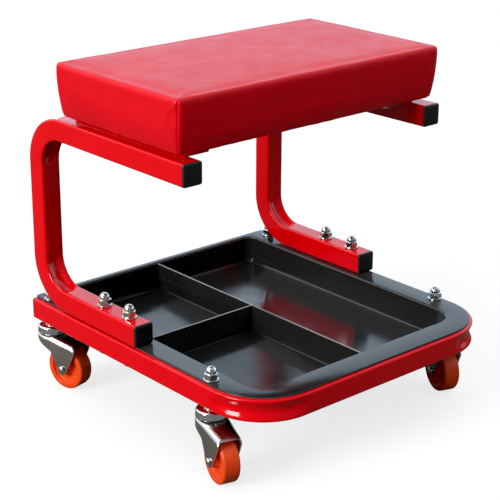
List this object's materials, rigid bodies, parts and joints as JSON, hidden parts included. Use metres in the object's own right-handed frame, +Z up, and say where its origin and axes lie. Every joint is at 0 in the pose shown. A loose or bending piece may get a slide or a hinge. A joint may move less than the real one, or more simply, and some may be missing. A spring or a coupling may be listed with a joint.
{
  "type": "rolling creeper seat",
  "caption": "Low rolling workshop seat: padded vinyl cushion on C-shaped tube arms over a U-shaped tube base with a divided tool tray and swivel casters.",
  "frame": {"origin": "on the floor, at the middle of the whole seat's footprint", "axes": "+X is the sitter's right, +Y the back, where the arms stand and the base is open, +Z up"},
  "size_m": [0.3784, 0.385, 0.3855],
  "materials": {
    "frame_paint": "gloss red powder coat",
    "seat_vinyl": "satin red vinyl with a fine grain",
    "seat_foam": "open-cell polyurethane foam",
    "seat_board": "bare plywood",
    "tray_plastic": "gloss black moulded plastic",
    "cap_plastic": "semi-matt black",
    "zinc": "bright zinc plate",
    "zinc_sheet": "bright zinc-plated pressed sheet",
    "chrome": "polished chrome plate",
    "wheel_orange": "semi-gloss moulded polyurethane"
  },
  "bodies": {
    "frame": {"base_frame": "frame_paint", "tool_tray": "tray_plastic", "seat_cover": "seat_vinyl", "seat_foam": "seat_foam", "seat_board": "seat_board", "side_arm_left": "frame_paint", "seat_bracket_left": "frame_paint", "base_end_cap_left": "cap_plastic", "arm_lower_cap_left": "cap_plastic", "arm_upper_cap_left": "cap_plastic", "arm_bolt_left_front": "zinc", "arm_washer_left_front": "zinc", "arm_acorn_nut_left_front": "zinc", "seat_bolt_left_front": "zinc", "arm_bolt_left_rear": "zinc", "arm_washer_left_rear": "zinc", "arm_acorn_nut_left_rear": "zinc", "seat_bolt_left_rear": "zinc", "side_arm_right": "frame_paint", "seat_bracket_right": "frame_paint", "base_end_cap_right": "cap_plastic", "arm_lower_cap_right": "cap_plastic", "arm_upper_cap_right": "cap_plastic", "arm_bolt_right_front": "zinc", "arm_washer_right_front": "zinc", "arm_acorn_nut_right_front": "zinc", "seat_bolt_right_front": "zinc", "arm_bolt_right_rear": "zinc", "arm_washer_right_rear": "zinc", "arm_acorn_nut_right_rear": "zinc", "seat_bolt_right_rear": "zinc", "caster_fl_stem": "zinc", "caster_fl_cup": "chrome", "caster_fl_washer": "zinc", "caster_fl_acorn_nut": "chrome", "caster_fr_stem": "zinc", "caster_fr_cup": "chrome", "caster_fr_washer": "zinc", "caster_fr_acorn_nut": "chrome", "caster_rl_stem": "zinc", "caster_rl_cup": "chrome", "caster_rl_washer": "zinc", "caster_rl_acorn_nut": "chrome", "caster_rr_stem": "zinc", "caster_rr_cup": "chrome", "caster_rr_washer": "zinc", "caster_rr_acorn_nut": "chrome"},
    "caster_fl_swivel": {"caster_fl_fork": "zinc_sheet", "caster_fl_axle": "zinc"},
    "caster_fl_wheel": {"caster_fl_wheel": "wheel_orange"},
    "caster_fr_swivel": {"caster_fr_fork": "zinc_sheet", "caster_fr_axle": "zinc"},
    "caster_fr_wheel": {"caster_fr_wheel": "wheel_orange"},
    "caster_rl_swivel": {"caster_rl_fork": "zinc_sheet", "caster_rl_axle": "zinc"},
    "caster_rl_wheel": {"caster_rl_wheel": "wheel_orange"},
    "caster_rr_swivel": {"caster_rr_fork": "zinc_sheet", "caster_rr_axle": "zinc"},
    "caster_rr_wheel": {"caster_rr_wheel": "wheel_orange"}
  },
  "joints": [
    {"name": "caster_fl_swivel", "type": "hinge", "parent": "frame", "child": "caster_fl_swivel", "pos_m": [-0.165, -0.111, 0.06], "axis": [0, 0, 1], "continuous": true},
    {"name": "caster_fr_swivel", "type": "hinge", "parent": "frame", "child": "caster_fr_swivel", "pos_m": [0.165, -0.111, 0.06], "axis": [0, 0, 1], "continuous": true},
    {"name": "caster_rl_swivel", "type": "hinge", "parent": "frame", "child": "caster_rl_swivel", "pos_m": [-0.165, 0.171, 0.06], "axis": [0, 0, 1], "continuous": true},
    {"name": "caster_rr_swivel", "type": "hinge", "parent": "frame", "child": "caster_rr_swivel", "pos_m": [0.165, 0.171, 0.06], "axis": [0, 0, 1], "continuous": true},
    {"name": "caster_fl_roll", "type": "hinge", "parent": "caster_fl_swivel", "child": "caster_fl_wheel", "pos_m": [-0.17147, -0.13515, 0.025], "axis": [0.9659, -0.2588, 0], "continuous": true},
    {"name": "caster_fr_roll", "type": "hinge", "parent": "caster_fr_swivel", "child": "caster_fr_wheel", "pos_m": [0.15665, -0.13457, 0.025], "axis": [0.9426, -0.3338, 0], "continuous": true},
    {"name": "caster_rl_roll", "type": "hinge", "parent": "caster_rl_swivel", "child": "caster_rl_wheel", "pos_m": [-0.15938, 0.14664, 0.025], "axis": [0.9744, 0.225, 0], "continuous": true},
    {"name": "caster_rr_roll", "type": "hinge", "parent": "caster_rr_swivel", "child": "caster_rr_wheel", "pos_m": [0.17147, 0.14685, 0.025], "axis": [0.9659, 0.2588, 0], "continuous": true}
  ]
}
